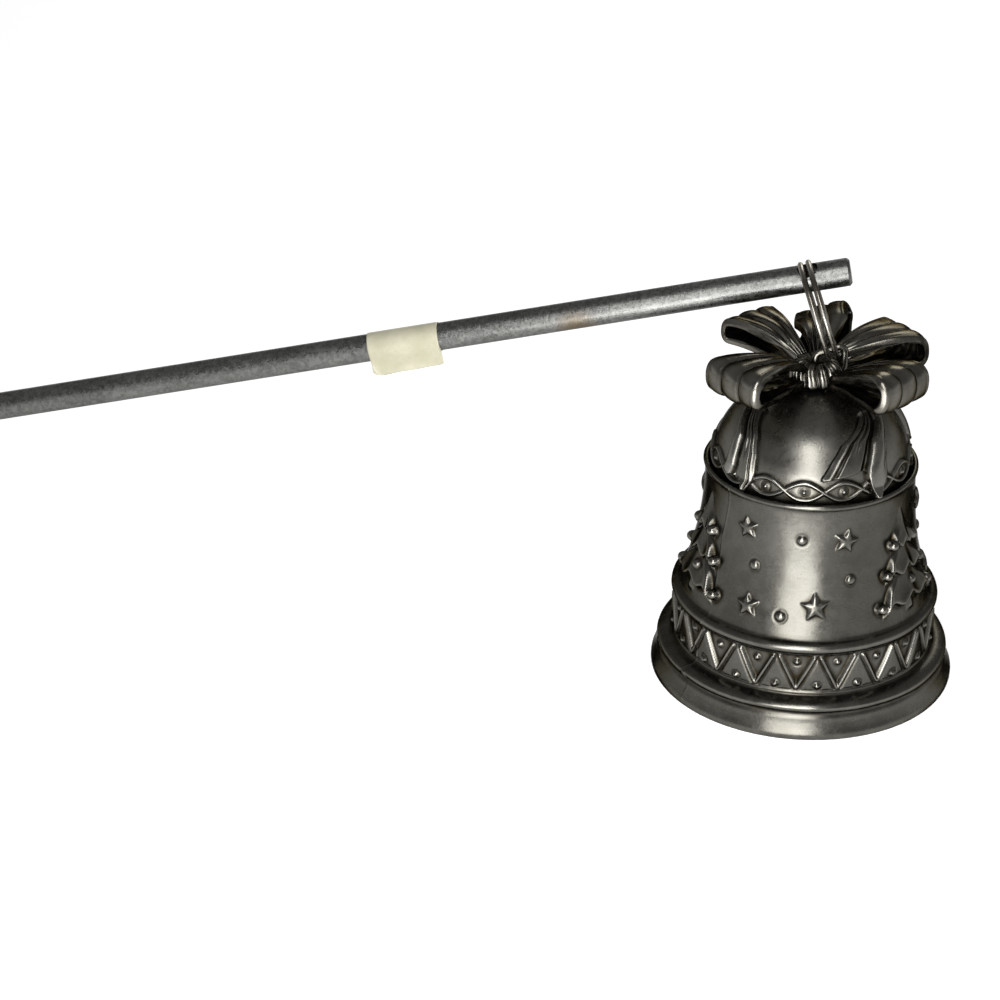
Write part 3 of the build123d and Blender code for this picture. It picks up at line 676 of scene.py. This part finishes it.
def build_dome():
    """The domed cap as one closed shell with the guilloche round its foot."""
    outer = np.vstack([fine_outline(SPIGOT_OUTSIDE, 0.16)[:-1], dome_profile(0, 190)[:-1]])
    inner = np.vstack([dome_profile(-DOME_WALL, 50)[::-1][1:], fine_outline(SPIGOT_INSIDE, 0.5)[1:]])
    line = np.vstack([outer, inner])
    normals = np.vstack([side_normals(outer), np.zeros_like(inner)])
    azimuth, row, radius, height = lathe_grid(line)
    on_outside = row < len(outer)
    lift = guilloche(azimuth, height) * on_outside * smooth(height, 33.6, 33.9) * (1 - smooth(height, 36.9, 37.4))
    # Colour mask: darker round the guilloche as patina and partly painted shade, and a painted shade round the dome's
    # foot where it sits in the lip, and over the inside
    hollow = (lift - blur(lift, 16)) / 0.2
    foot = -0.75 * (1 - smooth(height, 33.7, 34.5)) - 0.35 * (1 - smooth(height, 34.5, 37.6))
    shade = np.where(on_outside, hollow + foot, -0.5)
    waviness = 0.05 * ripple(azimuth, height, 5, 7, 0.45)
    lift += waviness * on_outside * smooth(height, 33.9, 36.0) * (radius / DOME_RADIUS)
    radius = radius + lift * normals[row, 0]
    height = height + lift * normals[row, 1]
    points = polar(radius, azimuth, height).reshape(-1, 3)
    rows, columns = azimuth.shape
    split = len(outer)
    quads = grid_faces(rows, columns, True, True)
    quads = quads[quads[:, 0] % columns != split - 1]
    poles = column_faces(rows, columns, split - 1, split)
    return make_piece("cast_crown_dome", points, quads, extra=poles, relief=shade)


# ---------------------------------------------------------------- bow
def build_tail(name, left_side, right_side, foot_edge, hand, seed):
    """A pleated ribbon tail on the dome: gathered at its top, spread in folds and notched at its foot."""
    across = np.sin(np.linspace(-math.pi / 2, math.pi / 2, 121))
    along = np.linspace(0, 1, 72)
    u, v = np.meshgrid(across, along, indexing="ij")
    foot_rise = np.interp(u, *foot_edge) + 0.06 * ripple(np.degrees(u) * 2, v * 0, seed, 4, 0.5)
    height = SPRING_HEIGHT + foot_rise * (1 - v) + TAIL_TOP * v
    left_turn, right_turn = np.interp(height, *left_side), np.interp(height, *right_side)
    turned = left_turn + (right_turn - left_turn) * (u + 1) / 2
    w = u * hand
    valley = bump(w - 0.2 + 0.12 * v, 0.17)
    ridge = np.clip(1 - ((w - 0.62) / 0.4) ** 2, 0, 1) ** 0.7
    facet = smooth(w, -1.0, -0.72) * (1 - smooth(w, 0.0, 0.2)) * (0.75 - 0.3 * (w + 0.4))
    crease = bump(w + 0.66 - 0.1 * v, 0.1) + 0.7 * bump(w + 0.28, 0.09) * smooth(v, 0.25, 0.7)
    crease += 0.8 * bump(w - 0.84, 0.07) * smooth(v, 0.1, 0.5)
    raised = 0.42 + 0.85 * ridge + 0.5 * facet - 0.3 * valley - 0.3 * crease
    rim = np.clip((1 - np.abs(u)) / 0.05, 0, 1) ** 0.5 * np.clip(v / 0.04, 0, 1) ** 0.5
    kick = 1.05 * smooth(SPRING_HEIGHT + 1.5 - height, 0.0, 1.4)
    # Colour mask: darker in the valley and creases and slightly all over, as patina and partly painted shade; lighter
    # on the ridge, facet and side edges, as wear and partly painted highlight
    shade = 0.9 * ridge + 0.5 * facet - 0.35 - 1.2 * valley - 0.8 * crease + 0.6 * bump(np.abs(u) - 0.95, 0.06)
    layers = []
    for offset in (0.12 + rim * raised + kick, -0.15 + 0.7 * kick):
        rise = np.clip((height - SPRING_HEIGHT) / DOME_RISE, 0, 0.97)
        level = DOME_RADIUS * np.sqrt(1 - rise**2)
        slope = np.arctan2(rise * DOME_RADIUS, np.sqrt(1 - rise**2) * DOME_RISE)
        layers.append(polar(level + offset * np.cos(slope), turned, height + offset * np.sin(slope)))
    rows, columns = u.shape
    points = np.stack(layers, 0).reshape(-1, 3)
    number = np.arange(rows * columns).reshape(rows, columns)
    faces = grid_faces(rows, columns, False, False)
    rim_line = np.concatenate([number[:, 0], number[-1, 1:], number[-2::-1, -1], number[0, -2:0:-1]])
    after = np.roll(rim_line, -1)
    sides = np.stack([rim_line, after, after + rows * columns, rim_line + rows * columns], -1)
    quads = np.concatenate([faces[:, ::-1], faces + rows * columns, sides])
    # The underside against the dome is painted dark as shade
    relief = np.concatenate([shade.ravel(), np.full(rows * columns, -0.6)])
    return make_piece("pleated_" + name, points, quads, relief=relief)


def build_loop(name, azimuth, reach, top, bottom, half_width, roll, pressed, phase, seed):
    """A ribbon loop: three lapped channels along it, rolled edges, gathered in pleats at the knot."""
    half_thick = RIBBON_THICK / 2
    high, low = CROWN_HEIGHT + top - half_thick, CROWN_HEIGHT + bottom + half_thick
    fold = (high - low) / 2
    centre = (reach - half_thick - fold, (high + low) / 2)
    start, end = (LOOP_ROOT, KNOT_BASE + 2.3 - 0.9 * pressed), (LOOP_ROOT, KNOT_BASE + 0.45)
    angle = np.linspace(math.pi / 2, -math.pi / 2, 40)
    arc_x = np.sign(np.cos(angle)) * np.abs(np.cos(angle)) ** FOLD_SQUARE
    arc_z = np.sign(np.sin(angle)) * np.abs(np.sin(angle)) ** FOLD_SQUARE
    bend = np.stack([centre[0] + fold * arc_x, centre[1] + fold * arc_z], 1)
    rise, shoulder = start[1] + 2.4 - 2.0 * pressed, high + 0.25 - 0.9 * pressed
    upper = cubic(start, (4.2, rise), (centre[0] - 4.6, shoulder), bend[0], 40)
    lower = cubic(bend[-1], (centre[0] - 4.0, low - 0.15), (5.0, end[1] + 0.4), end, 40)
    line = even(np.vstack([upper, bend[1:-1], lower]), 120)
    normals = -side_normals(line)
    across = np.sin(np.linspace(-math.pi / 2, math.pi / 2, 73))
    u, row = np.meshgrid(across, np.arange(len(line)), indexing="ij")
    radius, height = line[row, 0], line[row, 1]
    width = np.minimum(LOOP_SPREAD * radius, half_width) * (1 + 0.03 * ripple(radius * 6, height, seed, 3, 0.3))
    gather = 1 - smooth(radius, 3.0, 7.0)
    place = (u + 1) * 1.5 + 0.07 * np.sin(radius * 0.7 + seed)
    share = np.clip(place - np.clip(np.floor(place), 0, 2), 0, 1)
    channels = share**0.62 * (1 - share) ** 0.4 / 0.503
    pleats = np.abs(np.cos(2.5 * math.pi * u + math.pi * phase + 0.5 * np.sin(radius))) ** 0.7
    wave = (0.5 * channels + 0.1) * (1 - gather) + 0.5 * pleats * gather - 0.6
    crown = -0.35 * u**2 * (1 - gather)
    round_edge = np.sqrt(np.clip(1 - np.abs(u) ** 16, 0, 1))
    half = half_thick * round_edge * (1 + 0.3 * bump(np.abs(u) - 0.91, 0.11))
    # Colour mask: channel hollows and the gathered pleats near the knot darker, as patina and partly painted shade;
    # channel crests and rolled edges lighter, as wear and partly painted highlight
    shade = (channels - 0.55) * (1 - gather) + (pleats * 1.5 - 1.0) * gather
    shade += 0.35 * bump(np.abs(u) - 0.95, 0.08) - 0.35 * gather
    sway = 0.14 * ripple(radius * 5, height, seed + 40, 2, 0.25)
    wrinkle = 0.1 * ripple(np.degrees(u) * 3, height + radius, seed + 60, 6, 1.6)
    sheets = []
    for side in (1, -1):
        off = side * half + wave * (1.0 if side > 0 else 0.75) + crown + sway + (wrinkle if side < 0 else 0)
        sheets.append(np.stack([radius + normals[row, 0] * off, u * width, height + normals[row, 1] * off], -1))
    section = np.concatenate([sheets[0], sheets[1][-2:0:-1]])
    rolled = np.radians(roll) * smooth(section[..., 0], 5.0, reach - 2.0)
    tangent, upward = section[..., 1], section[..., 2] - centre[1]
    section[..., 1] = tangent * np.cos(rolled) - upward * np.sin(rolled)
    section[..., 2] = centre[1] + upward * np.cos(rolled) + tangent * np.sin(rolled)
    way, side_way = turn(azimuth), turn(azimuth + 90)
    world = section[..., :1] * way + section[..., 1:2] * side_way + section[..., 2:] * np.array((0, 0, 1.0))
    # The inner sheet, inside the loop, is painted darker as shade
    relief = np.concatenate([shade, (0.5 * shade - 0.45)[-2:0:-1]])
    count, columns = section.shape[:2]
    quads = grid_faces(count, columns, True, False)
    caps = column_faces(count, columns, 0, columns - 1)
    return make_piece("ribbed_" + name, world.reshape(-1, 3), quads, extra=caps, relief=relief)


def build_knot():
    """The gathered knot: a bun of uneven crisp pleats with a dimple where the eye stands."""
    around = np.arange(0, 360, 1.0)
    t = np.linspace(-math.pi / 2, math.pi / 2, 80)[1:-1]
    azimuth, slope = np.meshgrid(around, t, indexing="ij")
    wandering = azimuth + 7.0 * np.sin(np.radians(azimuth * 3 + 40)) + 4.0 * np.sin(np.radians(azimuth * 5))
    wandering += 5.0 * np.sin(slope * 1.7)
    pleat = np.abs(np.cos(np.radians(wandering * KNOT_PLEATS))) ** 0.6
    fine = np.abs(np.cos(np.radians(wandering * KNOT_FINE_PLEATS + 30))) ** 0.8
    belt = np.cos(slope) ** 0.5
    radius = KNOT_RADIUS * np.abs(np.cos(slope)) ** 0.55 * (0.8 + 0.16 * pleat + 0.04 * fine)
    swell = np.where(slope > 0, KNOT_UP, KNOT_DOWN)
    height = KNOT_BASE + KNOT_WIDEST + swell * np.sign(slope) * np.abs(np.sin(slope)) ** 0.8
    height += (0.42 * pleat + 0.12 * fine) * np.cos(slope) ** 0.3 * (slope > 0) * smooth(radius, 0.8, 2.0)
    height -= 0.5 * bump(radius, 1.7) * (slope > 0)
    # Colour mask: dark all over as patina and painted shade between the loops, lighter on the pleat crests round its
    # middle as wear and partly painted highlight
    shade = (pleat * 1.3 + 0.4 * fine) * belt - 0.95
    points = polar(radius, azimuth, height)
    columns = points.shape[1]
    quads = grid_faces(len(around), columns, True, False)
    caps = column_faces(len(around), columns, 0, columns - 1)
    return make_piece("gathered_bow_knot", points.reshape(-1, 3), quads, extra=caps, relief=shade)


# ---------------------------------------------------------------- ring and label
def tube(name, path, wire, sides=20, seed=3):
    """A round wire along a path of points, its ends closed with a small chamfer."""
    way = np.gradient(path, axis=0)
    way /= np.linalg.norm(way, axis=1)[:, None]
    first = np.cross(way, np.array((0.3, 0.5, 0.81)))
    first /= np.linalg.norm(first, axis=1)[:, None]
    second = np.cross(way, first)
    angle = np.linspace(0, 2 * math.pi, sides, endpoint=False)
    thick = np.full(len(path), wire)
    thick[0] = thick[-1] = wire * 0.8
    thick = thick * (1 + 0.02 * ripple(np.arange(len(path)) * 1.3, np.zeros(len(path)), seed, 20, 0.1))
    ring = np.cos(angle)[None, :, None] * first[:, None] + np.sin(angle)[None, :, None] * second[:, None]
    points = path[:, None] + ring * thick[:, None, None]
    quads = grid_faces(len(path), sides, False, True)
    caps = [tuple(range(sides)), tuple(reversed(range((len(path) - 1) * sides, len(path) * sides)))]
    return make_piece(name, points.reshape(-1, 3), quads, extra=caps)


def build_ring():
    """The split ring of nearly two turns: a flat turn, a smooth step across and a second flat turn."""
    tilt = math.radians(RING_TILT)
    normal = np.array((math.cos(tilt), 0, math.sin(tilt)))
    rise = np.array((-math.sin(tilt), 0, math.cos(tilt)))
    level = np.array((0, 1.0, 0))
    degrees = np.linspace(*RING_ENDS, 560)
    spin = np.radians(degrees)[:, None]
    side = 2 * smooth(degrees, *RING_CROSSING)[:, None] - 1
    path = RING_CENTRE + RING_RADIUS * (level * np.cos(spin) + rise * np.sin(spin)) + normal * side * RING_PITCH / 2
    return tube("split_ring_wire", path, RING_WIRE)


def build_label():
    """The bare paper label: once round the bar, its free end lifted and a little curled at the front."""
    across = np.cross(ROD_OUT, HOLE_AXIS)
    layer = ROD_RADIUS + LABEL_GLUE
    wrap_count, free_count = 150, 41
    angle = np.radians(np.linspace(300.0, -90.0, wrap_count))
    away = layer + LABEL_LIFT * np.linspace(0, 1, wrap_count) ** 4
    wrap = np.stack([np.cos(angle), np.sin(angle)], 1) * away[:, None]
    s = np.linspace(0, 1, free_count + 1)[1:]
    free = np.stack([-LABEL_FREE * s, -layer - LABEL_LIFT - 0.1 * s - 0.55 * s**3], 1)
    free[:, 0] += 0.25 * s**4
    line = np.vstack([wrap, free])
    normals = side_normals(line)
    along = np.linspace(0, LABEL_LENGTH, 64)
    a, row = np.meshgrid(along, np.arange(len(line)), indexing="ij")
    loose = np.clip((row - wrap_count) / free_count, 0, 1)
    corner = np.maximum(a - (LABEL_LENGTH - LABEL_CORNER), 0) / LABEL_CORNER
    shorten = 1 - 0.34 * (1 - np.sqrt(np.clip(1 - corner**2, 0, 1)))
    near_corner = np.maximum(1.0 - a, 0)
    shorten -= 0.1 * near_corner**2
    x = np.where(loose > 0, line[row, 0] * shorten, line[row, 0])
    y = line[row, 1] - 0.35 * loose**2 * (a / LABEL_LENGTH) ** 2 + 0.05 * np.sin(a * 1.3 + row * 0.03) * loose
    sheets = []
    for side in (1, -1):
        lift_x, lift_y = normals[row, 0] * side * LABEL_THICK / 2, normals[row, 1] * side * LABEL_THICK / 2
        sheets.append(np.stack([x + lift_x, y + lift_y, a], -1))
    local = np.concatenate([sheets[0], sheets[1][::-1]])
    world = (
        HOLE_CENTRE + ROD_OUT * LABEL_START
        + local[..., :1] * HOLE_AXIS + local[..., 1:2] * across + local[..., 2:] * ROD_OUT
    )
    count, columns = local.shape[:2]
    quads = grid_faces(count, columns, True, False)
    half = count // 2
    ends = []
    for column in (0, columns - 1):
        for k in range(half - 1):
            ends.append((k * columns + column, (k + 1) * columns + column,
                         (count - 2 - k) * columns + column, (count - 1 - k) * columns + column))
    ends = np.array(ends)
    ends[half - 1:] = ends[half - 1:, ::-1]
    return make_piece("bare_paper_label", world.reshape(-1, 3), np.vstack([quads, ends]))


def dress(piece, material, slot, body, *nodes):
    """Gives a piece its material and the body that it moves with, and hides the CAD nodes that it stands for; slot is
    not used.
    """
    piece.data.materials.append(material)
    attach(piece, body)
    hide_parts(*nodes)


dress(build_cup(), CAST, "pewter", "bell", "bell_cup")
dress(build_dome(), CAP, "pewter", "bell", "crown_dome")
for index, tail in enumerate(TAILS):
    dress(build_tail(*tail, 20 + index), CAP, "pewter", "bell", tail[0])
for index, loop in enumerate(LOOPS):
    dress(build_loop(*loop, 30 + index), BOW, "pewter", "bell", loop[0])
dress(build_knot(), BOW, "pewter", "bell", "bow_knot")
dress(build_ring(), STEEL, "ring_steel", "ring", "split_ring")
dress(build_label(), PAPER, "label_paper", "rod", "paper_label")


def repaint(node, material):
    """A CAD node that keeps its shape and gets a better material."""
    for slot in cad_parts[node].material_slots:
        slot.material = material


repaint("handle_rod", BAR)
repaint("hanging_eye", BOW)


# ---------------------------------------------------------------- stage, camera and light
def build_floor():
    """A plain white floor that keeps the object's shadow, white also where metal mirrors it."""
    mesh = bpy.data.meshes.new("floor")
    corners = [(x * FLOOR_HALF, y * FLOOR_HALF, FLOOR_HEIGHT) for x, y in ((-1, -1), (1, -1), (1, 1), (-1, 1))]
    mesh.from_pydata(corners, [], [(0, 1, 2, 3)])
    floor = bpy.data.objects.new("floor", mesh)
    bpy.context.collection.objects.link(floor)
    material, tree, shader = new_material("white floor")
    shader.inputs["Base Color"].default_value = (0.8, 0.8, 0.8, 1)
    shader.inputs["Roughness"].default_value = 0.9
    shader.inputs["Specular IOR Level"].default_value = 0.0
    shader.inputs["Emission Color"].default_value = (1, 1, 1, 1)
    tree.links.new(seen_directly(tree, 0.0, FLOOR_SEEN), shader.inputs["Emission Strength"])
    mesh.materials.append(material)


def seen_directly(tree, otherwise, seen):
    """One value for camera, glossy and transmission rays, and another for the rays that light the object."""
    path = add_node(tree, "ShaderNodeLightPath")
    plain = math_node(tree, "MAXIMUM", path.outputs["Is Camera Ray"], path.outputs["Is Glossy Ray"])
    plain = math_node(tree, "MAXIMUM", plain, path.outputs["Is Transmission Ray"])
    return add_node(tree, "ShaderNodeMapRange", {0: plain, 3: otherwise, 4: seen}).outputs[0]


def build_world():
    """A surround seen as white round the horizon and grey overhead, and a plain level of light elsewhere."""
    world = bpy.data.worlds.new("studio")
    world.use_nodes = True
    tree = world.node_tree
    background = tree.nodes["Background"]
    background.inputs["Color"].default_value = (1, 1, 1, 1)
    way = add_node(tree, "ShaderNodeTexCoord").outputs["Generated"]
    up = add_node(tree, "ShaderNodeSeparateXYZ", {0: way}).outputs[2]
    seen = remap(tree, up, 0.1, 0.3, 1.0, OVERHEAD_SEEN)
    tree.links.new(seen_directly(tree, SURROUND_LIGHT, seen), background.inputs["Strength"])
    bpy.context.scene.world = world


def add_lamp(name, azimuth, elevation, distance, width, height, radiance, aim):
    """A soft rectangular lamp aimed at a point, placed by its direction from it."""
    lamp = bpy.data.lights.new(name, "AREA")
    lamp.shape = "RECTANGLE"
    lamp.size, lamp.size_y = width, height
    lamp.energy = radiance * math.pi * width * height
    holder = bpy.data.objects.new(name, lamp)
    a, e = math.radians(azimuth), math.radians(elevation)
    way = Vector((math.cos(e) * math.cos(a), math.cos(e) * math.sin(a), math.sin(e)))
    holder.location = Vector(aim) + way * distance
    holder.rotation_euler = way.to_track_quat("Z", "Y").to_euler()
    holder.visible_camera = False
    bpy.context.collection.objects.link(holder)


def build_camera():
    """The photograph's camera."""
    e, roll = math.radians(CAMERA_ELEVATION), math.radians(CAMERA_ROLL)
    back = Vector((0, -math.cos(e), math.sin(e)))
    right, up = Vector((1, 0, 0)), Vector((0, math.sin(e), math.cos(e)))
    rolled_right = right * math.cos(roll) + up * math.sin(roll)
    rolled_up = up * math.cos(roll) - right * math.sin(roll)
    place = (back * CAMERA_DISTANCE - rolled_right * CAMERA_RIGHT - rolled_up * CAMERA_UP) * MM
    camera = bpy.data.cameras.new("camera")
    camera.lens = FOCAL_PIXELS * SENSOR_MM / FRAME_PIXELS
    camera.sensor_width = SENSOR_MM
    camera.clip_start = 0.01
    camera.clip_end = 50.0
    holder = bpy.data.objects.new("camera", camera)
    holder.matrix_world = Matrix.Translation(place) @ Matrix([rolled_right, rolled_up, back]).transposed().to_4x4()
    bpy.context.collection.objects.link(holder)
    bpy.context.scene.camera = holder


build_floor()
build_world()
build_camera()
for lamp_row in LAMPS:
    add_lamp(*lamp_row)
bpy.context.scene.view_settings.view_transform = "Standard"
